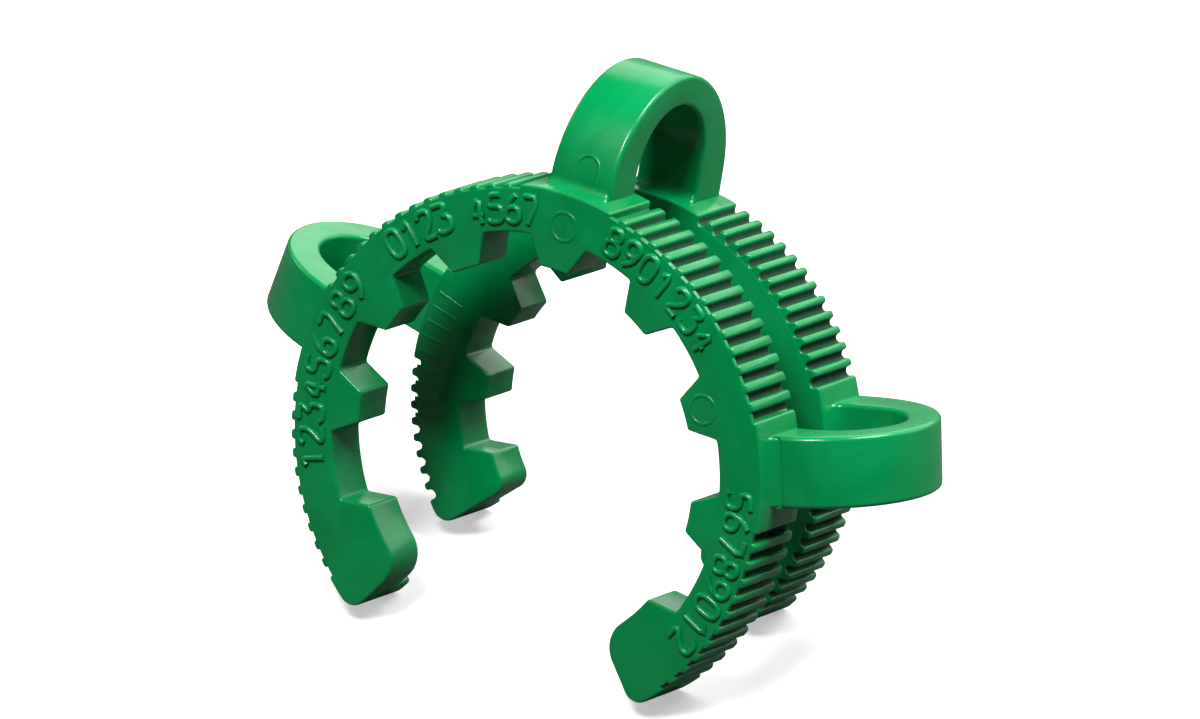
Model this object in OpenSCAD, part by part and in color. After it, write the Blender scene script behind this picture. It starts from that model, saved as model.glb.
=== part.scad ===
// Ground glass joint clip, moulded in one piece.
// Two open rings on one axis are joined by three hairpin loops. The larger ring
// grips the socket of a conical joint and the smaller one grips the cone's tube.
// It is drawn as it stands on a bench, on the tips of its four feet.
// X is across, Y runs along the joint towards the small ring, Z is up.
// The origin lies under the middle of the clip, on the bench.

/* [Socket ring] */
// Diameter across the tooth tips that grip the socket
socket_grip_d = 29.5; // [27:0.5:36]
// Width of the ring along the joint
socket_w = 6; // [5:0.5:8]
// Width of the toothed web, from the ring's front face
socket_web_w = 4.1; // [3.4:0.1:5]
// Height of the teeth above their roots
socket_tooth_h = 2.35; // [1.8:0.05:2.8]
// Wall from the tooth roots to the rib crests
socket_wall = 3.7; // [3:0.1:5]
// Angle from the top to where a foot's land starts
socket_land_a = 121.8; // [119:0.2:124]
// Angle from the top to the end face of each foot
socket_foot_a = 142.5; // [138:0.5:146]
// Corner radius on the inside of a foot's end
socket_foot_in_r = 2.4; // [1.6:0.1:2.8]

/* [Cone ring] */
// Diameter across the tooth tips that grip the cone's tube
cone_grip_d = 23.2; // [20:0.2:27]
// Width of the ring along the joint
cone_w = 5.8; // [5:0.2:8]
// Width of the toothed web, from the ring's front face
cone_web_w = 4; // [3.4:0.1:5]
// Height of the teeth above their roots
cone_tooth_h = 2.4; // [1.8:0.1:2.8]
// Wall from the tooth roots to the rib crests
cone_wall = 4.5; // [3.5:0.1:5.5]
// Angle from the top to where a foot's land starts
cone_land_a = 117.8; // [115:0.2:120]
// Angle from the top to the end face of each foot
cone_foot_a = 132.3; // [129:0.3:136]
// Corner radius on the inside of a foot's end
cone_foot_in_r = 1.2; // [0.8:0.1:2]

/* [Rings] */
// Thickness of the ribbed band that runs on behind each web
band_t = 2.4; // [2:0.1:2.8]
// Clear gap between the rings, where the rims of the joint sit
ring_gap = 7.6; // [6:0.2:12]

/* [Teeth] */
// Number of teeth, without the two feet
tooth_count = 7; // [5:2:7]
// Angle from one tooth to the next
tooth_pitch_a = 30.7; // [28:0.1:32]
// Angle that a tooth tip spans
tooth_tip_a = 9.4; // [8:0.2:11]
// Angle that a flank spans, on each side of a tooth
tooth_flank_a = 3.6; // [2.6:0.2:4.4]
// Corner radius on the outside of a foot's end
foot_out_r = 1.3; // [0.8:0.1:2]

/* [Finger ribs] */
// Angle from one groove to the next
rib_pitch_a = 4.07; // [3.8:0.01:5]
// Depth of a groove between two ribs
groove_depth = 0.5; // [0.3:0.05:0.7]
// Width of a groove at the crests
groove_w = 0.9; // [0.6:0.05:1]
// Plain land on each side of a loop
land_w = 1.5; // [1:0.1:3]
// Plain land at the outside of a foot's end
foot_pad_a = 8; // [5:0.5:12]

/* [Loops] */
// Width of the loops around the ring
loop_w = 5.5; // [4.5:0.1:7]
// Angle from the top loop to each side loop
loop_side_a = 78; // [76:0.5:79]
// Height of a loop's outside above the socket ring
loop_rise = 8.3; // [7:0.1:12]
// Thickness of a leg where it leaves its ring
loop_leg_t = 3.8; // [3:0.1:4.5]
// Thickness of the bend at its top
loop_top_t = 2.4; // [2:0.1:3.5]
// Distance from the socket ring's face back to the front leg
loop_setback = 1.9; // [1:0.1:2]
// Step between a leg and the face of its ring
loop_step = 0.2; // [0.1:0.05:0.4]
// Fillet where a leg meets its ring
loop_fillet = 0.8; // [0.3:0.1:1]

/* [Hidden] */
$fn = 128;

bite = 1;       // how far joined shapes reach into each other
beyond = 2;     // how far a cut runs past what it cuts
arc_steps = 8;  // flats in a rounded corner
foot_past_a = 4;  // how far a foot's land runs past its end face

socket_tip_r = socket_grip_d / 2;
socket_root_r = socket_tip_r + socket_tooth_h;
socket_crest_r = socket_root_r + socket_wall;
cone_tip_r = cone_grip_d / 2;
cone_root_r = cone_tip_r + cone_tooth_h;
cone_crest_r = cone_root_r + cone_wall;

// Places along the joint, from the socket ring's face
cone_face_y = socket_w + ring_gap;
end_y = cone_face_y + cone_w;

// The bend of a loop: half rings about two centres, the inner one higher
bend_out_r = (end_y - loop_step - loop_setback) / 2;
bend_y = loop_setback + bend_out_r;
bend_z = socket_crest_r + loop_rise - bend_out_r;
bend_in_r = bend_out_r - loop_leg_t;
bend_in_z = socket_crest_r + loop_rise - loop_top_t - bend_in_r;

// A point at a radius and at an angle clockwise from the top
function at(r, a) = [r * sin(a), r * cos(a)];
// Points along an arc about a centre, from one angle to another
function arc(centre, r, from, to) =
    [for (i = [0:arc_steps]) centre + at(r, from + (to - from) * i / arc_steps)];
function mirrored(points) =
    [for (i = [len(points) - 1:-1:0]) [-points[i].x, points[i].y]];

// Angle from a foot's end face back to the centre of a corner that meets it
function corner_a(r, centre_r) = asin(r / centre_r);
// Height of a foot's lowest point, from the joint's axis
function foot_low(crest_r, end_a) =
    (crest_r - foot_out_r) * cos(end_a - corner_a(foot_out_r, crest_r - foot_out_r))
    - foot_out_r;

// The clip leans back until the rear edges of all four feet are on the bench
socket_low = foot_low(socket_crest_r, socket_foot_a);
cone_low = foot_low(cone_crest_r, cone_foot_a);
lean_a = atan2(cone_low - socket_low, end_y - socket_w);
rest_z = socket_w * sin(lean_a) - socket_low * cos(lean_a);
front_y = socket_low * sin(lean_a);
back_y = bend_y * cos(lean_a) + bend_z * sin(lean_a) + bend_out_r;

// Angles where the ribbed stretches start and stop on a ring
function land_end_a(crest_r) = asin((loop_w / 2 + land_w) / crest_r);
function groove_angles(from, to) =
    let (n = floor((to - from) / rib_pitch_a), spare = (to - from) - n * rib_pitch_a)
    [for (i = [0:n]) from + spare / 2 + i * rib_pitch_a];

module tooth(tip_r, root_r) {
    tip = at(tip_r, tooth_tip_a / 2);
    foot = at(root_r, tooth_tip_a / 2 + tooth_flank_a);
    past = tip + (tip - foot) * 0.2;
    side = [past, foot, foot + [0, bite]];
    polygon(concat(side, mirrored(side)));
}

// The right foot's land, which runs past the foot's end until the mouth cuts it
module foot(tip_r, root_r, land_a, end_a) {
    tip = at(tip_r, land_a);
    start = at(root_r, land_a - tooth_flank_a);
    past = tip + (tip - start) * 0.3;
    far_a = end_a + foot_past_a;
    polygon([past, start, at(root_r + bite, land_a - tooth_flank_a),
             at(root_r + bite, (land_a + far_a) / 2), at(root_r + bite, far_a),
             at(tip_r - bite, far_a)]);
}

module grooves(crest_r, end_a) {
    half_land_a = land_end_a(crest_r);
    upper = groove_angles(half_land_a, loop_side_a - half_land_a);
    lower = groove_angles(loop_side_a + half_land_a, end_a - foot_pad_a);
    // a circle that has the stated depth and width where it cuts the crest
    r = (pow(groove_w / 2, 2) + pow(groove_depth, 2)) / (2 * groove_depth);
    for (a = concat(upper, lower), side = [-1, 1])
        translate(at(crest_r - groove_depth + r, side * a)) circle(r, $fn = 32);
}

// All that lies between the two feet, with their rounded ends
module mouth(tip_r, crest_r, end_a, in_r) {
    in_a = end_a - corner_a(in_r, tip_r + in_r);
    out_a = end_a - corner_a(foot_out_r, crest_r - foot_out_r);
    inner = arc(at(tip_r + in_r, in_a), in_r, in_a + 180, end_a + 90);
    outer = arc(at(crest_r - foot_out_r, out_a), foot_out_r, end_a + 90, out_a);
    edge = concat([at(tip_r - beyond, in_a)], inner, outer, [at(crest_r + beyond, out_a)]);
    low = [[crest_r, -crest_r - beyond]];
    right = concat(edge, low);
    polygon(concat(right, mirrored(right)));
}

// The toothed web, whose rim reaches into the band
module web_outline(tip_r, root_r, crest_r, land_a, end_a, in_r) {
    difference() {
        union() {
            difference() {
                circle(crest_r - band_t / 2);
                circle(root_r);
            }
            for (i = [0:tooth_count - 1])
                rotate((i - (tooth_count - 1) / 2) * tooth_pitch_a) tooth(tip_r, root_r);
            for (side = [0, 1]) mirror([side, 0]) foot(tip_r, root_r, land_a, end_a);
        }
        circle(tip_r);
        mouth(tip_r, crest_r, end_a, in_r);
    }
}

module band_outline(tip_r, crest_r, end_a, in_r) {
    difference() {
        circle(crest_r);
        circle(crest_r - band_t);
        mouth(tip_r, crest_r, end_a, in_r);
        grooves(crest_r, end_a);
    }
}

// A ring from its front face, y back along the joint. The band is wider than
// the web and runs on behind it.
module ring(y, w, web_w, tip_r, root_r, crest_r, land_a, end_a, in_r) {
    translate([0, y + web_w, 0]) rotate([90, 0, 0])
        linear_extrude(web_w) web_outline(tip_r, root_r, crest_r, land_a, end_a, in_r);
    translate([0, y + w, 0]) rotate([90, 0, 0])
        linear_extrude(w) band_outline(tip_r, crest_r, end_a, in_r);
}

// A fillet in the corner at the origin, between -X and +Y
module fillet(r) {
    polygon(concat([[bite, -bite], [-r, -bite]], arc([-r, r], r, 180, 90), [[bite, r]]));
}

// Side view of a loop, with Y along the joint and radii upwards
module loop_outline() {
    front_in_y = socket_w - loop_step;
    rear_out_y = end_y - loop_step;
    rear_in_y = rear_out_y - loop_leg_t;
    front_low_r = socket_crest_r - band_t * 0.7;
    rear_low_r = cone_crest_r - band_t * 0.7;
    difference() {
        union() {
            intersection() {
                translate([bend_y, bend_z]) circle(bend_out_r);
                translate([0, bend_z - bite]) square([end_y, bend_out_r + bite + beyond]);
            }
            translate([loop_setback, front_low_r])
                square([front_in_y - loop_setback, bend_z - front_low_r]);
            translate([rear_in_y, rear_low_r])
                square([loop_leg_t, bend_z - rear_low_r]);
        }
        translate([bend_y, bend_in_z]) circle(bend_in_r);
        translate([front_in_y, 0]) square([rear_in_y - front_in_y, bend_in_z]);
    }
    translate([loop_setback, socket_crest_r]) fillet(loop_fillet);
    translate([rear_in_y, cone_crest_r]) fillet(loop_fillet);
}

module loop(a) {
    rotate([0, a, 0]) rotate([90, 0, 90])
        linear_extrude(loop_w, center = true) loop_outline();
}

module joint_clip() {
    color("seagreen")
    translate([0, -(front_y + back_y) / 2, rest_z]) rotate([-lean_a, 0, 0]) {
        ring(0, socket_w, socket_web_w, socket_tip_r, socket_root_r, socket_crest_r,
             socket_land_a, socket_foot_a, socket_foot_in_r);
        ring(cone_face_y, cone_w, cone_web_w, cone_tip_r, cone_root_r, cone_crest_r,
             cone_land_a, cone_foot_a, cone_foot_in_r);
        for (a = [-loop_side_a, 0, loop_side_a]) loop(a);
    }
}

joint_clip();
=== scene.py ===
"""A moulded plastic clip that holds a conical ground glass joint together.

Two toothed open rings on one axis are joined by three hairpin loops. Sizes in
the code are millimetres in the clip's own frame, where Y runs along the joint
from the large ring's front face and angles are clockwise from the top. The
finished meshes are set down in the row's frame, in metres.
"""

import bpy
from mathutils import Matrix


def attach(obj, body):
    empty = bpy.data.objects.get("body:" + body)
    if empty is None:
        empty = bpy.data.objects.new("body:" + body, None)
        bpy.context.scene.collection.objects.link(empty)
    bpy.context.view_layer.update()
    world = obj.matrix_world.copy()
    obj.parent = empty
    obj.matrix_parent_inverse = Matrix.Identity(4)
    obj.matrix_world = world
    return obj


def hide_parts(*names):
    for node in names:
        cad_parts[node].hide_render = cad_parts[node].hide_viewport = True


bl_info = {
    "name": "Joint Clip",
    "version": (1, 0, 0),
    "blender": (4, 5, 0),
    "location": "3D View > Sidebar > Joint Clip",
    "description": "Builds a moulded clip for conical ground glass joints",
    "category": "Object",
}

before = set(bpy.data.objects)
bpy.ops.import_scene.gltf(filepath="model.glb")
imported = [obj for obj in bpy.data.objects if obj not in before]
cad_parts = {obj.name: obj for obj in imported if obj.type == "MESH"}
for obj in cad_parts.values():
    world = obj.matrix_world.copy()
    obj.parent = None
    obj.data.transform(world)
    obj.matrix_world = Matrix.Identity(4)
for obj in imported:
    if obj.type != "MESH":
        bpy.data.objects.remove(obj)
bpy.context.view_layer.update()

from math import asin, atan2, ceil, cos, degrees, floor, hypot, pi, radians, sin, sqrt

import bmesh
import bpy
from mathutils import Matrix, Vector

CAD_NODE = "joint_clip"
MM = 0.001


# ---------- properties


def length(name, mm, description, high=100.0):
    """A size in the panel, stated here in millimetres."""
    return bpy.props.FloatProperty(
        name=name, description=description, default=mm * MM, min=0.0, max=high * MM,
        unit="LENGTH", subtype="DISTANCE", precision=5,
    )


def angle(name, turn, description):
    """An angle in the panel, stated here in degrees."""
    return bpy.props.FloatProperty(
        name=name, description=description, default=radians(turn),
        min=0.0, max=2 * pi, unit="ROTATION", subtype="ANGLE",
    )


def colour(name, rgb, description):
    """A linear colour in the panel."""
    return bpy.props.FloatVectorProperty(
        name=name, description=description, default=(*rgb, 1.0), size=4,
        min=0.0, max=1.0, subtype="COLOR",
    )


class CLIP_PG_sizes(bpy.types.PropertyGroup):
    """Sizes of the moulding."""

    socket_grip_d: length("Socket grip", 29.5, "Diameter across the large ring's tooth tips")
    socket_w: length("Socket ring width", 6.0, "Width of the large ring along the joint")
    socket_web_w: length("Socket web width", 4.1, "Width of the large ring's toothed web")
    socket_tooth_h: length("Socket tooth height", 2.35, "Height of the large ring's teeth")
    socket_wall: length("Socket wall", 3.7, "Wall from the tooth roots to the rib crests")
    socket_land_a: angle("Socket foot land", 121.8, "Angle where a foot's land starts")
    socket_foot_a: angle("Socket foot end", 142.5, "Angle of the foot's end face")
    socket_foot_in_r: length("Socket foot inside", 2.4, "Corner radius inside a foot's end")
    cone_grip_d: length("Cone grip", 23.2, "Diameter across the small ring's tooth tips")
    cone_w: length("Cone ring width", 5.8, "Width of the small ring along the joint")
    cone_web_w: length("Cone web width", 4.0, "Width of the small ring's toothed web")
    cone_tooth_h: length("Cone tooth height", 2.4, "Height of the small ring's teeth")
    cone_wall: length("Cone wall", 4.5, "Wall from the tooth roots to the rib crests")
    cone_land_a: angle("Cone foot land", 117.8, "Angle where a foot's land starts")
    cone_foot_a: angle("Cone foot end", 132.3, "Angle of the foot's end face")
    cone_foot_in_r: length("Cone foot inside", 1.2, "Corner radius inside a foot's end")
    band_t: length("Band thickness", 2.4, "Thickness of the band behind each web")
    ring_gap: length("Ring gap", 7.6, "Clear gap between the rings")
    foot_out_r: length("Foot outer corner", 1.3, "Corner radius outside a foot's end")
    tooth_pitch_a: angle("Tooth pitch", 30.7, "Angle from one tooth to the next")
    tooth_tip_a: angle("Tooth tip", 9.4, "Angle that a tooth tip spans")
    tooth_flank_a: angle("Tooth flank", 3.6, "Angle that a flank spans")
    rib_pitch_a: angle("Rib pitch", 4.07, "Angle from one groove to the next")
    groove_w: length("Groove width", 0.9, "Width of a groove at the crests")
    groove_depth: length("Groove depth", 0.7, "Depth of a groove between two ribs")
    land_w: length("Loop land", 1.5, "Plain land on each side of a loop")
    foot_pad_a: angle("Foot pad", 8.0, "Plain land at the outside of a foot's end")
    loop_w: length("Loop width", 5.5, "Width of the loops around the ring")
    loop_side_a: angle("Side loop", 78.0, "Angle from the top loop to each side loop")
    loop_rise: length("Loop rise", 8.3, "Height of a loop above the large ring")
    loop_leg_t: length("Loop leg", 3.8, "Thickness of a leg where it leaves its ring")
    loop_top_t: length("Loop top", 2.4, "Thickness of the bend at its top")
    loop_setback: length("Loop setback", 1.9, "Front face back to the front leg")
    loop_step: length("Loop step", 0.2, "Step between a leg and the face of its ring")
    loop_fillet: length("Loop fillet", 0.9, "Fillet where a leg meets its ring")
    ring_edge: length("Ring edge radius", 0.2, "Rounding of the rings' edges")
    loop_edge: length("Loop edge radius", 0.36, "Rounding of the loops' edges")
    figure_h: length("Figure height", 2.1, "Height of the raised figures")
    figure_stroke: length("Figure stroke", 0.5, "Width of the figures' strokes")
    figure_rise: length("Figure rise", 0.3, "How far the figures stand up")


class CLIP_PG_finish(bpy.types.PropertyGroup):
    """Colours and gloss of the plastic, and the colour of the painted shade in its grooves."""

    plastic: colour("Plastic", (0.0, 0.200, 0.050), "Colour of the moulded plastic")
    deep: colour("Deep plastic", (0.0, 0.150, 0.034), "Colour where the pigment is denser")
    pale: colour("Pale plastic", (0.004, 0.27, 0.09), "Colour of rubbed and thin places")
    # painted shade: a near-black green laid deep in the grooves, where they lie in shadow
    hollow: colour("Painted groove shade", (0.0, 0.036, 0.012), "Colour deep in the grooves")
    roughness: bpy.props.FloatProperty(
        name="Roughness", description="Roughness of the moulded skin",
        default=0.23, min=0.0, max=1.0, subtype="FACTOR",
    )


class CLIP_PG_stage(bpy.types.PropertyGroup):
    """Floor, lights and camera."""

    floor: colour("Floor", (0.62, 0.62, 0.62), "Colour of the floor")
    azimuth: angle("Azimuth", 32.41, "Camera's angle round the clip from the front")
    elevation: angle("Elevation", 31.1, "Camera's angle above the floor")
    distance: length("Distance", 1000.0, "Camera's distance from the clip", 5000.0)
    lens: bpy.props.FloatProperty(
        name="Lens", description="Focal length of the camera",
        default=395.0, min=20.0, max=1000.0, unit="CAMERA",
    )


# ---------- the clip's plan


class Ring:
    """The worked-out sizes of one ring, in millimetres and degrees."""

    def __init__(self, sizes, name, front):
        def mm(key):
            return getattr(sizes, f"{name}_{key}") / MM

        self.name = name
        self.front = front
        self.width = mm("w")
        self.web_width = mm("web_w")
        self.tip_r = mm("grip_d") / 2
        self.root_r = self.tip_r + mm("tooth_h")
        self.crest_r = self.root_r + mm("wall")
        self.band_r = self.crest_r - sizes.band_t / MM
        self.rib_root_r = self.crest_r - sizes.groove_depth / MM
        self.land_a = degrees(getattr(sizes, name + "_land_a"))
        self.foot_a = degrees(getattr(sizes, name + "_foot_a"))
        self.foot_in_r = mm("foot_in_r")


class Plan:
    """Every derived size of the clip, from the panel's properties."""

    def __init__(self, sizes):
        self.s = sizes
        self.socket = Ring(sizes, "socket", 0.0)
        cone_front = self.socket.width + sizes.ring_gap / MM
        self.cone = Ring(sizes, "cone", cone_front)
        self.end_y = cone_front + self.cone.width
        self.foot_out_r = sizes.foot_out_r / MM
        self.pitch_a = degrees(sizes.rib_pitch_a)
        self.loop_w = sizes.loop_w / MM
        self.loop_a = degrees(sizes.loop_side_a)
        step = sizes.loop_step / MM
        self.leg_front = sizes.loop_setback / MM
        self.leg_back = self.end_y - step
        self.bend_r = (self.leg_back - self.leg_front) / 2
        self.bend_y = self.leg_front + self.bend_r
        self.bend_z = self.socket.crest_r + sizes.loop_rise / MM - self.bend_r
        self.eye_r = self.bend_r - sizes.loop_leg_t / MM
        self.eye_z = self.bend_z + self.bend_r - sizes.loop_top_t / MM - self.eye_r
        self.front_leg_in = self.socket.width - step
        self.rear_leg_in = self.leg_back - sizes.loop_leg_t / MM

        low = self.foot_low(self.socket)
        self.lean = atan2(self.foot_low(self.cone) - low, self.end_y - self.socket.width)
        rest_z = self.socket.width * sin(self.lean) - low * cos(self.lean)
        front_y = low * sin(self.lean)
        back_y = self.bend_y * cos(self.lean) + self.bend_z * sin(self.lean) + self.bend_r
        self.set_down = (
            Matrix.Scale(MM, 4)
            @ Matrix.Translation((0, -(front_y + back_y) / 2, rest_z))
            @ Matrix.Rotation(-self.lean, 4, "X")
        )

    def foot_low(self, ring):
        """Height of a foot's lowest point, from the joint's axis."""
        r = ring.crest_r - self.foot_out_r
        return r * cos(radians(ring.foot_a) - asin(self.foot_out_r / r)) - self.foot_out_r

    def on_bend(self, x, z):
        """A point on the top loop's front face, which curves back as it rises."""
        rise = z - self.bend_z
        return x, self.bend_y - sqrt(self.bend_r ** 2 - rise * rise), z

    def land_half_a(self, ring):
        """Half the angle that a loop and its two plain lands take up on a ring."""
        return degrees(asin((self.loop_w / 2 + self.s.land_w / MM) / ring.crest_r))

    def groove_angles(self, ring):
        """Angles of the upper and lower grooves on one side of a ring."""
        half = self.land_half_a(ring)
        stretches = (
            (half, self.loop_a - half),
            (self.loop_a + half, ring.foot_a - degrees(self.s.foot_pad_a)),
        )
        found = []
        for start, stop in stretches:
            count = floor((stop - start) / self.pitch_a)
            spare = (stop - start) - count * self.pitch_a
            found.append([start + spare / 2 + i * self.pitch_a for i in range(count + 1)])
        return found


ARC_SPACING = 0.45  # between the points of an arc about the axis
CORNER_SHARE = 0.49  # the most that a rounded corner takes of a neighbouring side
LEAST_MITRE = 0.25  # keeps a sharp corner from being inset too far


def at(r, a):
    """A point of the plan at a radius and an angle, clockwise from the top."""
    return Vector((r * sin(radians(a)), r * cos(radians(a))))


def arc(centre, r, start, stop, steps):
    """Points along an arc about a centre."""
    return [centre + at(r, start + (stop - start) * i / steps) for i in range(steps + 1)]


def sweep(r, start, stop):
    """Points along an arc about the axis, a set distance apart."""
    steps = max(2, ceil(abs(radians(stop - start)) * r / ARC_SPACING))
    return arc(Vector((0, 0)), r, start, stop, steps)


def round_corners(points, corners, steps=5):
    """Replaces each marked corner of an outline with an arc, which is smaller
    where a neighbouring point leaves less room."""
    out = []
    for i, p in enumerate(points):
        r = corners.get(i)
        if not r:
            out.append(p)
            continue
        to_last = points[i - 1] - p
        to_next = points[(i + 1) % len(points)] - p
        before, after = to_last.normalized(), to_next.normalized()
        opening = before.angle(after)
        trim = r / abs(sin(opening / 2) / cos(opening / 2))
        room = CORNER_SHARE * min(to_last.length, to_next.length)
        if trim > room:
            r *= room / trim
            trim = room
        centre = p + (before + after).normalized() * (r / sin(opening / 2))
        a, b = p + before * trim - centre, p + after * trim - centre
        turn = a.angle_signed(b)
        for k in range(steps + 1):
            t = -turn * k / steps
            spoke = Vector((a.x * cos(t) - a.y * sin(t), a.x * sin(t) + a.y * cos(t)))
            out.append(centre + spoke)
    return out


# ---------- solid building


def inset_directions(outline):
    """For each point of a closed outline, the way into the material."""
    following = outline[1:] + outline[:1]
    area = sum(p.x * q.y - q.x * p.y for p, q in zip(outline, following))
    turn = 1 if area > 0 else -1
    sides = [(q - p).normalized() for p, q in zip(outline, following)]
    normals = [Vector((-side.y, side.x)) * turn for side in sides]
    return [
        (a + b) / max(LEAST_MITRE, 1 + a.dot(b))
        for a, b in zip(normals[-1:] + normals[:-1], normals)
    ]


def rounded_solid(outline, low, high, low_edge, high_edge, steps=4):
    """Layers of a solid between two heights, with its rims rounded."""
    inward = inset_directions(outline)
    turns = [pi / 2 * k / steps for k in range(steps + 1)]
    layers = [(low + low_edge * (1 - cos(t)), low_edge * (1 - sin(t))) for t in turns]
    layers += [
        (high - high_edge * (1 - cos(t)), high_edge * (1 - sin(t))) for t in reversed(turns)
    ]
    return [(h, [p + d * inset for p, d in zip(outline, inward)]) for h, inset in layers]


def linked(name, data):
    """A new object in the scene."""
    made = bpy.data.objects.new(name, data)
    bpy.context.scene.collection.objects.link(made)
    return made


def mesh_object(name, bm):
    """A linked object from a bmesh, its faces turned outwards."""
    bmesh.ops.recalc_face_normals(bm, faces=bm.faces)
    mesh = bpy.data.meshes.new(name)
    bm.to_mesh(mesh)
    bm.free()
    return linked(name, mesh)


def layered_object(name, layers, to_3d):
    """A closed object from stacked layers of one outline."""
    bm = bmesh.new()
    rows = [[bm.verts.new(to_3d(p, h)) for p in points] for h, points in layers]
    for lower, upper in zip(rows, rows[1:]):
        for i in range(len(lower)):
            j = (i + 1) % len(lower)
            bm.faces.new((lower[i], lower[j], upper[j], upper[i]))
    bm.faces.new(list(reversed(rows[0])))
    bm.faces.new(rows[-1])
    return mesh_object(name, bm)


def along_joint(p, h):
    """Plan point p at a place h along the joint."""
    return (p.x, h, p.y)


def across_loop(p, h):
    """Side-view point p at a distance h across the top loop."""
    return (h, p.x, p.y)


def discard(piece):
    """Removes an object and its data."""
    data = piece.data
    bpy.data.objects.remove(piece)
    if data.users == 0:
        (bpy.data.meshes if isinstance(data, bpy.types.Mesh) else bpy.data.curves).remove(data)


def settle(piece, name):
    """Turns an object with live modifiers into a plain mesh object."""
    graph = bpy.context.evaluated_depsgraph_get()
    mesh = bpy.data.meshes.new_from_object(piece.evaluated_get(graph), depsgraph=graph)
    mesh.name = name
    plain = linked(name, mesh)
    discard(piece)
    return plain


def fuse(base, parts):
    """Unites closed solids into one."""
    for part in parts:
        join = base.modifiers.new(part.name, "BOOLEAN")
        join.operation = "UNION"
        join.solver = "MANIFOLD"
        join.object = part
    whole = settle(base, base.name)
    for part in parts:
        discard(part)
    return whole


# ---------- the rings


TEETH_A_SIDE = 3  # whole teeth between the top one and a foot
TIP_EDGE = 0.34  # corner radius at a tooth's tip
ROOT_EDGE = 0.4  # corner radius at a tooth's root
GROOVE_SIDE_A = 0.25  # lean of a groove's sides, as an angle round the axis
WEB_CORNER = 0.035  # how much a groove's corner radius is over the ring's edge
BAND_CORNER = 0.08  # the same at the foot of the band
HAIR = 0.012  # how far the band lies inside the web, so that no faces coincide
BAND_END_A = 2.2  # where the band's inside stops short of the foot's end
BAND_START = 1.0  # where the band starts, inside the web
BAND_START_EDGE = 0.02  # rounding there, which the web hides


def foot_end(plan, ring, outer_r, inner_r):
    """The end of a right foot, from its inside to its outside, with a rounded
    inner corner unless the radius of a plain one is given."""
    a = ring.foot_a
    out_c = outer_r - plan.foot_out_r
    out_a = a - degrees(asin(plan.foot_out_r / out_c))
    outside = arc(at(out_c, out_a), plan.foot_out_r, a + 90, out_a, 9)
    if inner_r is None:
        corner_r = ring.foot_in_r
        in_a = a - degrees(asin(corner_r / (ring.tip_r + corner_r)))
        inside = arc(at(ring.tip_r + corner_r, in_a), corner_r, in_a + 180, a + 90, 9)
    else:
        inside = [at(inner_r, a)]
    return inside + outside


def outer_side(plan, ring, lift):
    """The outside of a ring from the right foot to the top: pads stand at the
    crests, and ribbed stretches lie at the bottom of the grooves."""
    half_gap = degrees(plan.s.groove_w / MM / 2 / ring.crest_r)
    upper, lower = (
        (angles[0] - half_gap, angles[-1] + half_gap) for angles in plan.groove_angles(ring)
    )
    crest, root = ring.crest_r - lift, ring.rib_root_r - lift
    corner = plan.s.ring_edge / MM + WEB_CORNER
    foot_a = ring.foot_a - degrees(asin(plan.foot_out_r / (crest - plan.foot_out_r)))
    levels = [
        (crest, foot_a, lower[1]),
        (root, lower[1] - GROOVE_SIDE_A, lower[0] + GROOVE_SIDE_A),
        (crest, lower[0], upper[1]),
        (root, upper[1] - GROOVE_SIDE_A, upper[0] + GROOVE_SIDE_A),
        (crest, upper[0], 0.0),
    ]
    points, corners = [], {}
    for i, (r, start, stop) in enumerate(levels):
        run = sweep(r, start, stop)
        if i:
            corners[len(points)] = corner
        points += run
        if i < len(levels) - 1:
            corners[len(points) - 1] = corner
    return points, corners


def web_outline(plan, ring):
    """The toothed web of a ring, as a closed outline."""
    s = plan.s
    tip, flank = degrees(s.tooth_tip_a) / 2, degrees(s.tooth_flank_a)
    pitch = degrees(s.tooth_pitch_a)
    points = sweep(ring.tip_r, 0, tip)
    corners = {len(points) - 1: TIP_EDGE}
    for i in range(TEETH_A_SIDE + 1):
        last = i == TEETH_A_SIDE
        start = i * pitch + tip + flank
        stop = ring.land_a - flank if last else (i + 1) * pitch - tip - flank
        run = sweep(ring.root_r, start, stop)
        corners[len(points)] = ROOT_EDGE
        points += run
        corners[len(points) - 1] = ROOT_EDGE
        if last:
            in_a = ring.foot_a - degrees(asin(ring.foot_in_r / (ring.tip_r + ring.foot_in_r)))
            run = sweep(ring.tip_r, ring.land_a, in_a)[:-1]
        else:
            run = sweep(ring.tip_r, (i + 1) * pitch - tip, (i + 1) * pitch + tip)
        corners[len(points)] = TIP_EDGE
        points += run
        if not last:
            corners[len(points) - 1] = TIP_EDGE
    points += foot_end(plan, ring, ring.crest_r, None)[:-1]
    return closed_outline(plan, ring, points, corners, 0.0)


def band_outline(plan, ring):
    """The band behind the web, a hair inside the web's outline."""
    points = sweep(ring.band_r, 0, ring.foot_a - BAND_END_A)
    corners = {len(points): plan.s.ring_edge / MM + BAND_CORNER}
    points += foot_end(plan, ring, ring.crest_r - HAIR, ring.band_r)[:-1]
    return closed_outline(plan, ring, points, corners, HAIR)


def closed_outline(plan, ring, points, corners, lift):
    """Adds a ring's outside to its inside, and mirrors the half at the top."""
    outside, outside_corners = outer_side(plan, ring, lift)
    corners.update({len(points) + i: r for i, r in outside_corners.items()})
    points += outside
    inner = {i: r for i, r in corners.items() if 0 < i < len(points) - 1}
    half = round_corners(points, inner)
    return half + [Vector((-p.x, p.y)) for p in reversed(half[1:-1])]


def ring_objects(plan, ring):
    """The web and the band of one ring."""
    edge = plan.s.ring_edge / MM
    front = ring.front
    web = rounded_solid(web_outline(plan, ring), front, front + ring.web_width, edge, edge)
    band = rounded_solid(
        band_outline(plan, ring), front + BAND_START, front + ring.width, BAND_START_EDGE, edge
    )
    return [
        layered_object(ring.name + "_web", web, along_joint),
        layered_object(ring.name + "_band", band, along_joint),
    ]


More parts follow.
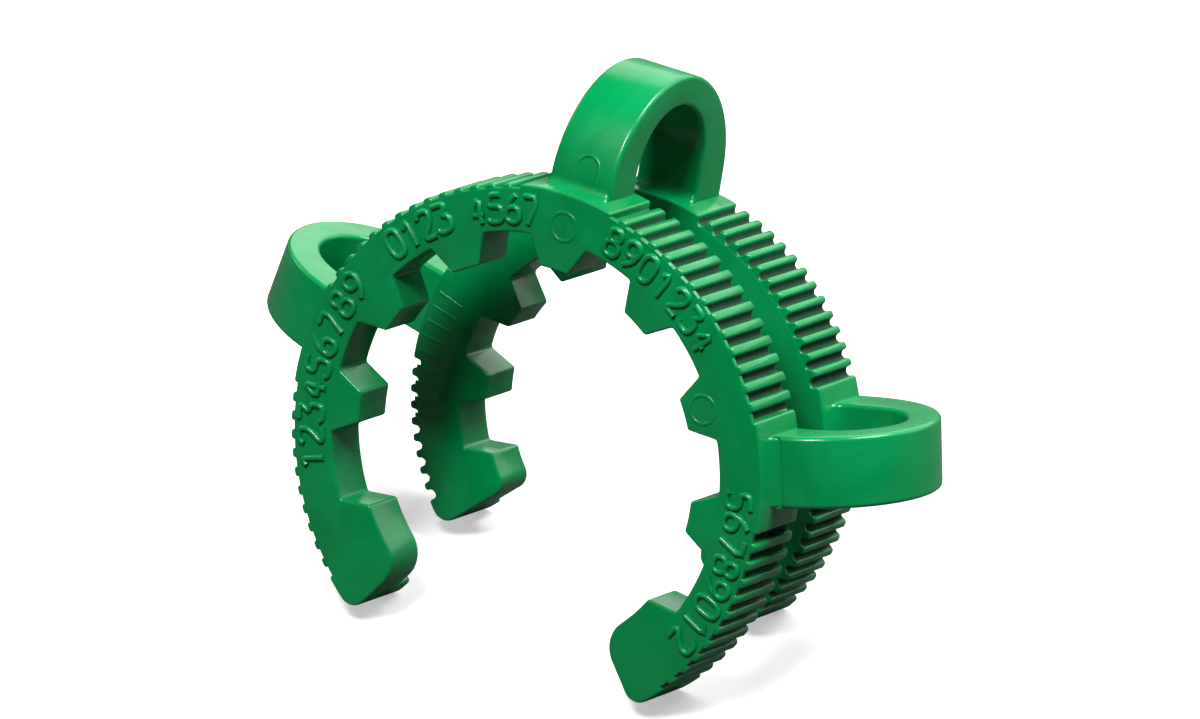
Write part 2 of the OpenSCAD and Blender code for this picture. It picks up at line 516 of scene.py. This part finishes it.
LIP_RISE = 0.4  # a lip's height above the bottoms of the grooves
LIP_ROOT = 0.6  # how far it reaches into the web below them
LIP_W = 0.45  # its width along the joint
LIP_EDGE = 0.15  # the rounding of its rims
LIP_INSET = 0.015  # its front face behind the web's
LIP_PAST_A = 2.0  # how far it runs past the outermost grooves


def lip_objects(plan, ring):
    """Low lips on a ring's front edge, which close the front ends of its grooves."""
    outer, inner = ring.rib_root_r + LIP_RISE, ring.rib_root_r - LIP_ROOT
    front = ring.front + LIP_INSET
    lips = []
    for angles in plan.groove_angles(ring):
        start, stop = angles[0] - LIP_PAST_A, angles[-1] + LIP_PAST_A
        for low, high in ((start, stop), (-stop, -start)):
            outline = sweep(inner, low, high) + sweep(outer, high, low)
            layers = rounded_solid(outline, front, front + LIP_W, LIP_EDGE, LIP_EDGE)
            lips.append(layered_object(ring.name + "_lip", layers, along_joint))
    return lips


RIB_EXTRA = 0.095  # how much a rib's half width is over the space between grooves
RIB_ROOT = 0.25  # how far a rib reaches into the ring below the grooves
RIB_ROOT_GAP = 0.03  # half the gap between the flared roots of two ribs
RIB_GAP = 0.035  # a rib's end back from the face of its ring
RIB_TAPER = 0.55  # how much narrower a rib gets for each millimetre its end drops
RIB_BACK_LENGTH, RIB_BACK_DROP = 1.9, 1.7  # the back end, in shares of the front end
RIB_END = ((0.0, 0.17), (0.03, 0.09), (0.09, 0.035), (0.19, 0.0))  # place, drop


def rib_object(plan, ring):
    """One finger rib at the top of a ring, its root sunk into the band."""
    pitch = radians(plan.pitch_a) * ring.crest_r
    crest_half = (pitch - plan.s.groove_w / MM) / 2 + RIB_EXTRA
    height = plan.s.groove_depth / MM
    root_half = pitch / 2 * ring.rib_root_r / ring.crest_r - RIB_ROOT_GAP
    flare = root_half - crest_half
    # half of the rib's section from its root to its crest: the sides hollow
    # out of the flared root, and the crest's corners are round
    side = [
        (root_half - 0.01, -RIB_ROOT), (root_half, 0.0), (crest_half + 0.52 * flare, 0.06),
        (crest_half + 0.22 * flare, 0.17), (crest_half + 0.06 * flare, 0.34),
        (crest_half, height - 0.2), (crest_half - 0.05, height - 0.08),
        (crest_half - 0.15, height - 0.015), (0.0, height),
    ]
    profile = [Vector(p) for p in side] + [Vector((-x, z)) for x, z in reversed(side[:-1])]
    front = [(ring.front + RIB_GAP + y, drop) for y, drop in RIB_END]
    back_end = ring.front + ring.width - RIB_GAP
    back = [
        (back_end - RIB_BACK_LENGTH * y, RIB_BACK_DROP * drop) for y, drop in reversed(RIB_END)
    ]
    layers = []
    for y, drop in front + back:
        shape = []
        for p in profile:
            keep = min(1.0, max(0.0, (p.y + RIB_ROOT) / (height + RIB_ROOT)))
            x = p.x * (1 - RIB_TAPER * drop * keep)
            shape.append(Vector((x, ring.rib_root_r + p.y - drop * keep)))
        layers.append((y, shape))
    return layered_object(ring.name + "_rib", layers, along_joint)


BEND_STEPS, EYE_STEPS = 64, 44  # points round the outside and the inside of the bend
LOOP_ROOT = 1.5  # how far a loop's legs reach into the rings
FILLET_DIP = 0.22  # how far a fillet's toe sinks into the land


def loop_object(plan):
    """The top loop, from its side view."""
    s = plan.s
    fillet = s.loop_fillet / MM
    front_low = plan.socket.crest_r - LOOP_ROOT
    rear_low = plan.cone.crest_r - LOOP_ROOT

    def foot(y, crest, low):
        toe = arc(Vector((y - fillet, crest - FILLET_DIP + fillet)), fillet, 180, 90, 6)
        return [Vector((y - fillet, low))] + toe

    centre = Vector((plan.bend_y, plan.bend_z))
    eye = Vector((plan.bend_y, plan.eye_z))
    outline = foot(plan.leg_front, plan.socket.crest_r, front_low)
    outline += arc(centre, plan.bend_r, -90, 90, BEND_STEPS)
    outline.append(Vector((plan.leg_back, rear_low)))
    outline += foot(plan.rear_leg_in, plan.cone.crest_r, rear_low)
    outline += arc(eye, plan.eye_r, 90, -90, EYE_STEPS)
    outline.append(Vector((plan.front_leg_in, front_low)))
    edge = s.loop_edge / MM
    half = plan.loop_w / 2
    return layered_object(
        "loop", rounded_solid(outline, -half, half, edge, edge, 6), across_loop
    )


# ---------- geometry nodes


NODES_A_ROW, NODE_STEP, ROW_STEP = 12, 190, 320


class Tree:
    """A node tree under construction, with short ways to add and link nodes."""

    def __init__(self, tree, left=0):
        self.tree, self.left = tree, left
        self.column = 0

    def socket(self, name, way, kind, default=None):
        made = self.tree.interface.new_socket(name=name, in_out=way, socket_type=kind)
        if default is not None:
            made.default_value = default
        return made

    def add(self, kind, **settings):
        node = self.tree.nodes.new(kind)
        self.column += 1
        row, place = divmod(self.column, NODES_A_ROW)
        node.location = (self.left + place * NODE_STEP, -row * ROW_STEP)
        values = settings.pop("inputs", {})
        for key, value in settings.items():
            setattr(node, key, value)
        self.fill(node, values)
        return node

    def fill(self, node, values):
        """Links or sets the inputs of a node."""
        for key, value in values.items():
            if isinstance(value, bpy.types.NodeSocket):
                self.tree.links.new(value, node.inputs[key])
            else:
                node.inputs[key].default_value = value

    def math(self, operation, a, b, c=0.0):
        inputs = {0: a, 1: b, 2: c}
        return self.add("ShaderNodeMath", operation=operation, inputs=inputs).outputs[0]

    def end(self, geometry, material):
        """Ends a geometry tree: instances made real, and a material set."""
        real = self.add("GeometryNodeRealizeInstances", inputs={"Geometry": geometry})
        finish = self.add(
            "GeometryNodeSetMaterial",
            inputs={"Geometry": real.outputs[0], "Material": material},
        )
        self.add("NodeGroupOutput", inputs={"Geometry": finish.outputs[0]})
        return self.tree


def array_tree():
    """Repeats an object round the joint's axis, on one side or on both."""
    t = Tree(bpy.data.node_groups.new("Array round the joint", "GeometryNodeTree"))
    t.socket("Geometry", "INPUT", "NodeSocketGeometry")
    t.socket("Piece", "INPUT", "NodeSocketObject")
    t.socket("Count", "INPUT", "NodeSocketInt", 3)
    first = t.socket("First angle", "INPUT", "NodeSocketFloat", 0.0)
    pitch = t.socket("Pitch angle", "INPUT", "NodeSocketFloat", 0.1)
    first.subtype = pitch.subtype = "ANGLE"
    t.socket("Both sides", "INPUT", "NodeSocketBool", False)
    t.socket("Material", "INPUT", "NodeSocketMaterial")
    t.socket("Geometry", "OUTPUT", "NodeSocketGeometry")
    ins = t.add("NodeGroupInput").outputs
    piece = t.add("GeometryNodeObjectInfo", inputs={"Object": ins["Piece"]})
    sides = t.math("ADD", ins["Both sides"], 1.0)
    total = t.math("MULTIPLY", ins["Count"], sides)
    line = t.add(
        "GeometryNodeMeshLine", inputs={"Count": total, "Offset": (0.0, 0.0, 0.0)}
    )
    index = t.add("GeometryNodeInputIndex").outputs[0]
    far_side = t.math("GREATER_THAN", index, t.math("SUBTRACT", ins["Count"], 0.5))
    step = t.math("SUBTRACT", index, t.math("MULTIPLY", far_side, ins["Count"]))
    turn = t.math("MULTIPLY_ADD", step, ins["Pitch angle"], ins["First angle"])
    sign = t.math("MULTIPLY_ADD", far_side, -2.0, 1.0)
    rotation = t.add("ShaderNodeCombineXYZ", inputs={"Y": t.math("MULTIPLY", turn, sign)})
    copies = t.add(
        "GeometryNodeInstanceOnPoints",
        inputs={
            "Points": line.outputs["Mesh"],
            "Instance": piece.outputs["Geometry"],
            "Rotation": rotation.outputs[0],
        },
    )
    return t.end(copies.outputs[0], ins["Material"])


def stroke_tree():
    """Raises rounded strokes along flat lines, as moulded figures are."""
    t = Tree(bpy.data.node_groups.new("Raised strokes", "GeometryNodeTree"))
    t.socket("Geometry", "INPUT", "NodeSocketGeometry")
    t.socket("Stroke width", "INPUT", "NodeSocketFloat", 0.36)
    t.socket("Rise", "INPUT", "NodeSocketFloat", 0.17)
    t.socket("Sides", "INPUT", "NodeSocketInt", 12)
    t.socket("Material", "INPUT", "NodeSocketMaterial")
    t.socket("Geometry", "OUTPUT", "NodeSocketGeometry")
    ins = t.add("NodeGroupInput").outputs
    facing = t.add(
        "GeometryNodeSetCurveNormal", mode="FREE",
        inputs={"Curve": ins["Geometry"], "Normal": (0.0, -1.0, 0.0)},
    )
    circle = t.add(
        "GeometryNodeCurvePrimitiveCircle", mode="RADIUS",
        inputs={"Resolution": ins["Sides"], "Radius": 1.0},
    )
    scale = t.add(
        "ShaderNodeCombineXYZ",
        inputs={
            "X": ins["Rise"], "Y": t.math("MULTIPLY", ins["Stroke width"], 0.5), "Z": 1.0
        },
    )
    oval = t.add(
        "GeometryNodeTransform",
        inputs={"Geometry": circle.outputs[0], "Scale": scale.outputs[0]},
    )
    tube = t.add(
        "GeometryNodeCurveToMesh",
        inputs={
            "Curve": facing.outputs[0], "Profile Curve": oval.outputs[0], "Fill Caps": True
        },
    )
    return t.end(tube.outputs[0], ins["Material"])


def tree_named(name, maker):
    """The node tree of that name, built on first use."""
    return bpy.data.node_groups.get(name) or maker()


def apply_tree(piece, tree, values, name):
    """Runs a tree on an object with named inputs, and keeps the plain mesh."""
    modifier = piece.modifiers.new(tree.name, "NODES")
    modifier.node_group = tree
    for item in tree.interface.items_tree:
        if item.item_type == "SOCKET" and item.in_out == "INPUT" and item.name in values:
            modifier[item.identifier] = values[item.name]
    return settle(piece, name)


def array_round(part, name, count, first, pitch, both):
    """Copies a part round the joint's axis, and drops the pattern piece."""
    made = apply_tree(
        mesh_object(name, bmesh.new()),
        tree_named("Array round the joint", array_tree),
        {
            "Piece": part, "Count": count, "First angle": radians(first),
            "Pitch angle": radians(pitch), "Both sides": both, "Material": plastic(),
        },
        name,
    )
    discard(part)
    return made


# ---------- materials


CLOUDS_DULL, RUBBED_DULL, HOLLOW_DULL = 0.10, 0.25, 0.6  # what each adds to roughness
SWELL = 0.6  # height of the slow waves in the skin's relief
BUMP_STRENGTH, BUMP_DISTANCE = 0.35, 0.00005
PLASTIC_IOR, PLASTIC_SPECULAR = 1.48, 0.36
MATERIAL_LEFT = -960  # puts a material's nodes left of its shader


def skin_group():
    """Moulded skin: pigment clouds, flow lines, rubbed specks and fine grain,
    with painted shade that darkens the grooves, where the skin is also duller."""
    t = Tree(bpy.data.node_groups.new("Moulded skin", "ShaderNodeTree"))
    for name in ("Plastic", "Deep", "Pale", "Hollow"):
        t.socket(name, "INPUT", "NodeSocketColor")
    for name in ("Clouds", "Flow", "Rubbed", "Roughness", "Grain"):
        t.socket(name, "INPUT", "NodeSocketFloat")
    t.socket("Color", "OUTPUT", "NodeSocketColor")
    t.socket("Roughness", "OUTPUT", "NodeSocketFloat")
    t.socket("Height", "OUTPUT", "NodeSocketFloat")
    ins = t.add("NodeGroupInput").outputs
    place = t.add("ShaderNodeTexCoord").outputs["Object"]

    def noise(scale, detail, stretch=(1.0, 1.0, 1.0), distort=0.0):
        mapped = t.add("ShaderNodeMapping", inputs={"Vector": place, "Scale": stretch})
        made = t.add(
            "ShaderNodeTexNoise",
            inputs={
                "Vector": mapped.outputs[0], "Scale": scale, "Detail": detail,
                "Distortion": distort,
            },
        )
        return made.outputs[0]

    def ramp(value, low, high):
        made = t.add(
            "ShaderNodeMapRange",
            inputs={"Value": value, "From Min": low, "From Max": high},
        )
        return made.outputs[0]

    def blend(factor, a, b):
        inputs = {0: factor, 6: a, 7: b}
        return t.add("ShaderNodeMix", data_type="RGBA", inputs=inputs).outputs[2]

    clouds = ramp(noise(scale=95.0, detail=4.0, distort=0.6), low=0.35, high=0.68)
    streaks = noise(scale=210.0, detail=3.0, stretch=(1.0, 0.22, 1.0), distort=0.8)
    flow = ramp(streaks, low=0.42, high=0.7)
    specks = ramp(noise(scale=900.0, detail=2.0), low=0.66, high=0.74)
    patches = ramp(noise(scale=420.0, detail=5.0), low=0.5, high=0.75)
    rubbed = t.math("MULTIPLY", patches, ins["Rubbed"])
    base = blend(t.math("MULTIPLY", clouds, ins["Clouds"]), ins["Plastic"], ins["Deep"])
    base = blend(t.math("MULTIPLY", flow, ins["Flow"]), base, ins["Pale"])
    base = blend(t.math("MULTIPLY", specks, rubbed), base, ins["Pale"])
    # painted shade: the groove mask blends the near-black groove colour over the plastic
    hollow = t.add("ShaderNodeAttribute", attribute_name="hollow").outputs["Fac"]
    base = blend(hollow, base, ins["Hollow"])
    grain = noise(scale=5200.0, detail=2.0)
    swell = noise(scale=260.0, detail=2.0)
    rough = ins["Roughness"]
    clouds_about_zero = t.math("SUBTRACT", clouds, 0.5)
    for effect, rise in (
        (clouds_about_zero, CLOUDS_DULL), (rubbed, RUBBED_DULL), (hollow, HOLLOW_DULL)
    ):
        rough = t.math("ADD", rough, t.math("MULTIPLY", effect, rise))
    height = t.math(
        "ADD", t.math("MULTIPLY", grain, ins["Grain"]), t.math("MULTIPLY", swell, SWELL)
    )
    t.add("NodeGroupOutput", inputs={"Color": base, "Roughness": rough, "Height": height})
    return t.tree


def new_material(name):
    """A material, its tree and its shader."""
    material = bpy.data.materials.new(name)
    material.use_nodes = True
    tree = material.node_tree
    return material, Tree(tree, MATERIAL_LEFT), tree.nodes["Principled BSDF"]


def plastic_material(name, clouds, flow, rubbed, duller, grain):
    """A green moulded plastic with its own share of each surface effect."""
    finish = bpy.context.scene.clip_finish
    material, t, shader = new_material(name)
    values = {
        "Plastic": finish.plastic, "Deep": finish.deep, "Pale": finish.pale,
        "Hollow": finish.hollow, "Clouds": clouds, "Flow": flow, "Rubbed": rubbed,
        "Roughness": finish.roughness + duller, "Grain": grain,
    }
    group = tree_named("Moulded skin", skin_group)
    skin = t.add("ShaderNodeGroup", node_tree=group, inputs=values).outputs
    bump = t.add(
        "ShaderNodeBump",
        inputs={
            "Strength": BUMP_STRENGTH, "Distance": BUMP_DISTANCE, "Height": skin["Height"]
        },
    )
    t.fill(shader, {
        "Base Color": skin["Color"], "Roughness": skin["Roughness"],
        "Normal": bump.outputs["Normal"], "IOR": PLASTIC_IOR,
        "Specular IOR Level": PLASTIC_SPECULAR,
    })
    return material


def plastic():
    """The plastic of the body."""
    return bpy.data.materials.get("moulded_green") or plastic_material(
        "moulded_green", clouds=0.55, flow=0.35, rubbed=0.35, duller=0.0, grain=0.05
    )


def figure_plastic():
    """The plastic of the raised figures, whose tops are rubbed paler."""
    return bpy.data.materials.get("raised_green") or plastic_material(
        "raised_green", clouds=0.3, flow=0.55, rubbed=0.6, duller=-0.03, grain=0.03
    )


# ---------- raised figures


# each figure's lines in its own units: whether a line is closed, and its points
FIGURES = {
    "0": [(True, ".15,0 .45,0 .6,.2 .6,.8 .45,1 .15,1 0,.8 0,.2")],
    "1": [(False, ".1,.76 .36,1 .36,0")],
    "2": [(False, "0,.8 .1,1 .5,1 .6,.78 .5,.5 0,0 .6,0")],
    "3": [(False, "0,1 .6,1 .28,.6 .5,.58 .62,.4 .6,.1 .42,0 .1,0 0,.14")],
    "4": [(False, ".44,0 .44,1 0,.3 .6,.3")],
    "5": [(False, ".58,1 .08,1 .03,.58 .45,.6 .62,.42 .6,.12 .45,0 .1,0 0,.12")],
    "6": [
        (True, ".2,0 .42,0 .58,.14 .58,.42 .42,.56 .16,.56 0,.4 0,.16"),
        (False, "0,.34 .1,.72 .44,1"),
    ],
    "7": [(False, "0,1 .6,1 .2,0")],
    "8": [
        (True, ".18,.54 .42,.54 .55,.66 .55,.88 .42,1 .18,1 .05,.88 .05,.66"),
        (True, ".15,0 .45,0 .6,.13 .6,.4 .45,.54 .15,.54 0,.4 0,.13"),
    ],
    "9": [
        (True, ".4,1 .18,1 .02,.86 .02,.58 .18,.44 .44,.44 .6,.6 .6,.84"),
        (False, ".6,.66 .5,.28 .16,0"),
    ],
}

# plain counting figures, with the angle of the first and the pitch of each run
FIGURE_RUNS = (
    ("123456789", -107.5, 5.6),
    ("0123 4567", -47.0, 4.85),
    ("8901234", 14.5, 5.2),
    ("56789012", 84.0, 5.4),
)
ANGULAR = "147"  # the figures whose corners are cut once and not twice
FIGURE_RIM = 0.83  # from the crests of the ribs to the tops of the figures
FIGURE_W = 0.98  # width of a figure's unit, in shares of its height
FIGURE_MIDDLE = 0.3  # middle of a figure in its own units


def smoothed(points, closed, rounds):
    """Cuts the corners of a line, and keeps an open line's ends."""
    for _ in range(rounds):
        out = [] if closed else [points[0]]
        last = len(points) if closed else len(points) - 1
        for i in range(last):
            a, b = points[i], points[(i + 1) % len(points)]
            out += [a.lerp(b, 0.25), a.lerp(b, 0.75)]
        if not closed:
            out.append(points[-1])
        points = out
    return points


def add_line(data, points, closed):
    """Adds a straight-segment spline to a curve."""
    spline = data.splines.new("POLY")
    spline.points.add(len(points) - 1)
    for made, p in zip(spline.points, points):
        made.co = (*p, 1.0)
    spline.use_cyclic_u = closed


def stroke_object(name, lines, stroke, rise, material):
    """Raised strokes along lines given as (points, closed)."""
    data = bpy.data.curves.new(name, "CURVE")
    data.dimensions = "3D"
    for points, closed in lines:
        add_line(data, points, closed)
    return apply_tree(
        linked(name + "_lines", data),
        tree_named("Raised strokes", stroke_tree),
        {"Stroke width": stroke, "Rise": rise, "Sides": 12, "Material": material},
        name,
    )


def figure_lines(plan):
    """The lines of every figure on the large ring's front face."""
    height = plan.s.figure_h / MM
    inner_r = plan.socket.crest_r - FIGURE_RIM - height
    lines = []
    for run, first, pitch in FIGURE_RUNS:
        for i, mark in enumerate(run):
            for closed, text in FIGURES.get(mark, ()):
                flat = [
                    Vector([float(v) for v in pair.split(",")]) for pair in text.split()
                ]
                turn = first + i * pitch
                placed = []
                for p in smoothed(flat, closed, 1 if mark in ANGULAR else 2):
                    across = (p.x - FIGURE_MIDDLE) * FIGURE_W * height
                    q = at(inner_r + p.y * height, turn) + at(across, turn + 90)
                    placed.append((q.x, plan.socket.front, q.y))
                lines.append((placed, closed))
    return lines


MARK_STROKE, MARK_RISE = 0.3, 0.07
ROUND_MARK_R, ROUND_MARK_STEPS = 1.1, 28
MARK_RIM = 1.75  # from the tooth tips to the lower mark, and on to the upper
UPPER_MARK_A, LOWER_MARK_A = 0.8, 61.4
UPPER_STROKE = (-0.4, 0.0, 0.4)  # the short line in the upper mark
BARS, BARS_START_A, BAR_PITCH_A = 9, -104.0, 4.07
BAR_RADII = (15.8, 16.4, 17.2, 18.0)
BAR_LIFT = 0.03  # how far the bars lie behind the small ring's front face
ARCH_R, ARCH_X, ARCH_TOP, ARCH_FOOT = 1.0, 0.3, 1.15, 0.5


def circle_line(centre, r, y):
    """A circle on a plane across the joint."""
    points = [
        centre + at(r, 360.0 * i / ROUND_MARK_STEPS) for i in range(ROUND_MARK_STEPS)
    ]
    return [(p.x, y, p.y) for p in points], True


def mark_lines(plan):
    """The lines of the round marks, the stroke in the upper one, the bars on the
    small ring and the arch at the foot of the top loop."""
    lower_r = plan.socket.tip_r + MARK_RIM
    upper_r = lower_r + MARK_RIM
    lines = [
        circle_line(at(upper_r, UPPER_MARK_A), ROUND_MARK_R, 0.0),
        circle_line(at(lower_r, LOWER_MARK_A), ROUND_MARK_R, 0.0),
    ]
    for i in range(BARS):
        bar = [at(r, BARS_START_A + i * BAR_PITCH_A) for r in BAR_RADII]
        lines.append(([(p.x, plan.cone.front + BAR_LIFT, p.y) for p in bar], False))
    stroke = [at(upper_r + step, UPPER_MARK_A) for step in UPPER_STROKE]
    lines.append(([(p.x, 0.0, p.y) for p in stroke], False))
    arch = [at(ARCH_R, turn) + Vector((ARCH_X, ARCH_TOP)) for turn in range(-90, 91, 15)]
    arch = [Vector((ARCH_X - ARCH_R, 0.0)), *arch, Vector((ARCH_X + ARCH_R, 0.0))]
    foot = plan.socket.crest_r + ARCH_FOOT
    lines.append(([plan.on_bend(p.x, foot + p.y) for p in arch], False))
    return lines


# ---------- finish calls


BODY_CREASE_A, STROKE_CREASE_A = 38.0, 50.0  # edges sharper than this stay crisp
# the mask of the painted shade in the grooves
HOLLOW_FRONT = 0.4  # the front of a ring that gets no painted shade
HOLLOW_BELOW = 0.1  # how far below the grooves a face may lie
HOLLOW_MAX_Y = 0.6  # faces that look more than this along the joint get no painted shade
HOLLOW_START, HOLLOW_FADE = 0.26, 0.5  # in shares of a groove's depth
HAIRLINE = 0.01  # room for the rounding of numbers


def shade(piece, limit):
    """Smooth shading between crisp edges, flats kept flat."""
    piece.data.shade_smooth()
    piece.data.set_sharp_from_angle(angle=radians(limit))


def mark_groove_shade(piece, plan):
    """Stores how deep each face corner lies in a groove, as the mask of the painted shade in
    the plastic's colour.
    """
    mesh = piece.data
    hollow = mesh.attributes.new("hollow", "FLOAT", "CORNER")
    depth = plan.s.groove_depth / MM
    for ring in (plan.socket, plan.cone):
        land = plan.land_half_a(ring)
        front, back = ring.front + HOLLOW_FRONT, ring.front + ring.width + HAIRLINE
        for face in mesh.polygons:
            middle = face.center
            turn = degrees(atan2(middle.x, middle.z))
            on_loop = min(abs(turn - a) for a in (-plan.loop_a, 0.0, plan.loop_a)) < land
            too_low = ring.crest_r - hypot(middle.x, middle.z) > depth + HOLLOW_BELOW
            facing = abs(face.normal.y) > HOLLOW_MAX_Y
            if on_loop or too_low or facing or not front < middle.y < back:
                continue
            for corner in face.loop_indices:
                point = mesh.vertices[mesh.loops[corner].vertex_index].co
                sunk = (ring.crest_r - hypot(point.x, point.z)) / depth
                value = min(1.0, max(0.0, (sunk - HOLLOW_START) / HOLLOW_FADE))
                hollow.data[corner].value = value


def hand_over(piece, plan, material, replaces=False):
    piece.data.transform(plan.set_down)
    piece.data.materials.clear()
    piece.data.materials.append(material)
    for polygon in piece.data.polygons:
        polygon.material_index = 0
    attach(piece, "root")
    if replaces:
        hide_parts(CAD_NODE)


# ---------- operators


class CLIP_OT_body(bpy.types.Operator):
    """Build the rings with their teeth and finger ribs, and the three loops"""

    bl_idname = "clip.body"
    bl_label = "Build Body"

    def execute(self, context):
        plan = Plan(context.scene.clip_sizes)
        parts = []
        for ring in (plan.socket, plan.cone):
            parts += ring_objects(plan, ring)
            for place, angles in zip(("upper", "lower"), plan.groove_angles(ring)):
                parts.append(
                    array_round(
                        rib_object(plan, ring), f"{ring.name}_{place}_ribs",
                        len(angles) - 1, (angles[0] + angles[1]) / 2, plan.pitch_a, True,
                    )
                )
        parts.append(
            array_round(loop_object(plan), "loops", 3, -plan.loop_a, plan.loop_a, False)
        )
        parts += lip_objects(plan, plan.socket)
        body = fuse(parts[0], parts[1:])
        body.name = "clip_body"
        body.data.name = "clip_body"
        shade(body, BODY_CREASE_A)
        mark_groove_shade(body, plan)
        hand_over(body, plan, plastic(), replaces=True)
        return {"FINISHED"}


class CLIP_OT_figures(bpy.types.Operator):
    """Build the raised counting figures on the large ring's front face"""

    bl_idname = "clip.figures"
    bl_label = "Build Raised Figures"

    def execute(self, context):
        sizes = context.scene.clip_sizes
        plan = Plan(sizes)
        figures = stroke_object(
            "face_figures", figure_lines(plan), sizes.figure_stroke / MM,
            sizes.figure_rise / MM, figure_plastic(),
        )
        shade(figures, STROKE_CREASE_A)
        hand_over(figures, plan, figure_plastic())
        return {"FINISHED"}


class CLIP_OT_marks(bpy.types.Operator):
    """Build the round mould marks, the bars on the small ring and the arch"""

    bl_idname = "clip.marks"
    bl_label = "Build Mould Marks"

    def execute(self, context):
        plan = Plan(context.scene.clip_sizes)
        marks = stroke_object(
            "mould_marks", mark_lines(plan), MARK_STROKE, MARK_RISE, plastic()
        )
        shade(marks, STROKE_CREASE_A)
        hand_over(marks, plan, plastic())
        return {"FINISHED"}


class CLIP_OT_stage(bpy.types.Operator):
    """Build the floor, the soft lights and the camera"""

    bl_idname = "clip.stage"
    bl_label = "Build Stage"

    def execute(self, context):
        stage = context.scene.clip_stage
        floor_object(stage)
        soft_lights()
        camera_object(context.scene, stage)
        context.scene.view_settings.view_transform = "Standard"
        return {"FINISHED"}


FLOOR_HALF = 6.0
FLOOR_BOUNCE = 0.1  # share of the floor's colour that it throws on the clip
FLOOR_GLOW = 0.42  # its glow towards the camera
FLOOR_ROUGHNESS, FLOOR_SPECULAR = 0.75, 0.2
WHITE = (1.0, 1.0, 1.0, 1.0)
SURROUNDINGS = 0.035
LIGHT_TARGET = (0.0, 0.0, 0.02)
CAMERA_TARGET = (0.0005, 0.0, 0.0205)
LIGHTS = (  # name, place, size, power
    ("overhead", (0.34, 0.3, 0.78), (0.45, 0.4), 12.5),
    ("front", (0.0, -0.46, 0.9), (0.3, 0.3), 12.5),
    ("back", (0.12, 1.0, 0.45), (2.2, 0.8), 11.5),
    ("left", (-0.9, 0.1, 0.5), (0.4, 0.4), 1.6),
)


def floor_object(stage):
    """A wide plain floor, which the camera sees nearly white and the clip dark."""
    bm = bmesh.new()
    bmesh.ops.create_grid(bm, x_segments=1, y_segments=1, size=FLOOR_HALF)
    floor = mesh_object("floor", bm)
    if floor.data.polygons[0].normal.z < 0:
        floor.data.flip_normals()
    material, t, shader = new_material("pale_floor")
    seen = t.add("ShaderNodeLightPath").outputs["Is Camera Ray"]
    dim = [FLOOR_BOUNCE * part for part in stage.floor[:3]] + [1.0]
    tone = t.add("ShaderNodeMix", data_type="RGBA", inputs={0: seen, 6: dim, 7: stage.floor})
    t.fill(shader, {
        "Base Color": tone.outputs[2], "Roughness": FLOOR_ROUGHNESS,
        "Specular IOR Level": FLOOR_SPECULAR, "Emission Color": WHITE,
        "Emission Strength": t.math("MULTIPLY", seen, FLOOR_GLOW),
    })
    floor.data.materials.append(material)


def soft_lights():
    """Lights overhead and in front, a wide one behind and a faint one at the left."""
    world = bpy.data.worlds.new("studio")
    world.use_nodes = True
    background = world.node_tree.nodes["Background"]
    background.inputs["Color"].default_value = WHITE
    background.inputs["Strength"].default_value = SURROUNDINGS
    bpy.context.scene.world = world
    for name, place, size, power in LIGHTS:
        data = bpy.data.lights.new(name, "AREA")
        data.shape = "RECTANGLE"
        data.size, data.size_y = size
        data.energy = power
        light = linked(name, data)
        light.location = place
        aim = Vector(LIGHT_TARGET) - Vector(place)
        light.rotation_euler = aim.to_track_quat("-Z", "Y").to_euler()


def camera_object(scene, stage):
    """The camera, on a long lens."""
    azimuth, elevation = stage.azimuth, stage.elevation
    forward = Vector(
        (-sin(azimuth) * cos(elevation), cos(azimuth) * cos(elevation), -sin(elevation))
    )
    data = bpy.data.cameras.new("camera")
    data.lens = stage.lens
    data.clip_start, data.clip_end = 0.05, 50.0  # metres
    camera = linked("camera", data)
    camera.location = Vector(CAMERA_TARGET) - forward * stage.distance
    camera.rotation_euler = forward.to_track_quat("-Z", "Y").to_euler()
    scene.camera = camera


class CLIP_PT_panel(bpy.types.Panel):
    """Sizes, finish and the steps that build the clip"""

    bl_idname = "CLIP_PT_panel"
    bl_label = "Joint Clip"
    bl_space_type = "VIEW_3D"
    bl_region_type = "UI"
    bl_category = "Joint Clip"

    def draw(self, context):
        column = self.layout.column()
        for step in STEPS:
            column.operator(step)
        for group in ("clip_sizes", "clip_finish", "clip_stage"):
            settings = getattr(context.scene, group)
            box = self.layout.box().column()
            for key in settings.bl_rna.properties.keys():
                if key not in ("rna_type", "name"):
                    box.prop(settings, key)


STEPS = ("clip.body", "clip.figures", "clip.marks", "clip.stage")
CLASSES = (
    CLIP_PG_sizes, CLIP_PG_finish, CLIP_PG_stage, CLIP_OT_body, CLIP_OT_figures,
    CLIP_OT_marks, CLIP_OT_stage, CLIP_PT_panel,
)


def register():
    for cls in CLASSES:
        bpy.utils.register_class(cls)
    scene = bpy.types.Scene
    scene.clip_sizes = bpy.props.PointerProperty(type=CLIP_PG_sizes)
    scene.clip_finish = bpy.props.PointerProperty(type=CLIP_PG_finish)
    scene.clip_stage = bpy.props.PointerProperty(type=CLIP_PG_stage)


def unregister():
    for name in ("clip_stage", "clip_finish", "clip_sizes"):
        delattr(bpy.types.Scene, name)
    for cls in reversed(CLASSES):
        bpy.utils.unregister_class(cls)


def main():
    """Builds every piece in order."""
    register()
    bpy.ops.clip.body()
    bpy.ops.clip.figures()
    bpy.ops.clip.marks()
    bpy.ops.clip.stage()


if __name__ == "__main__":
    main()
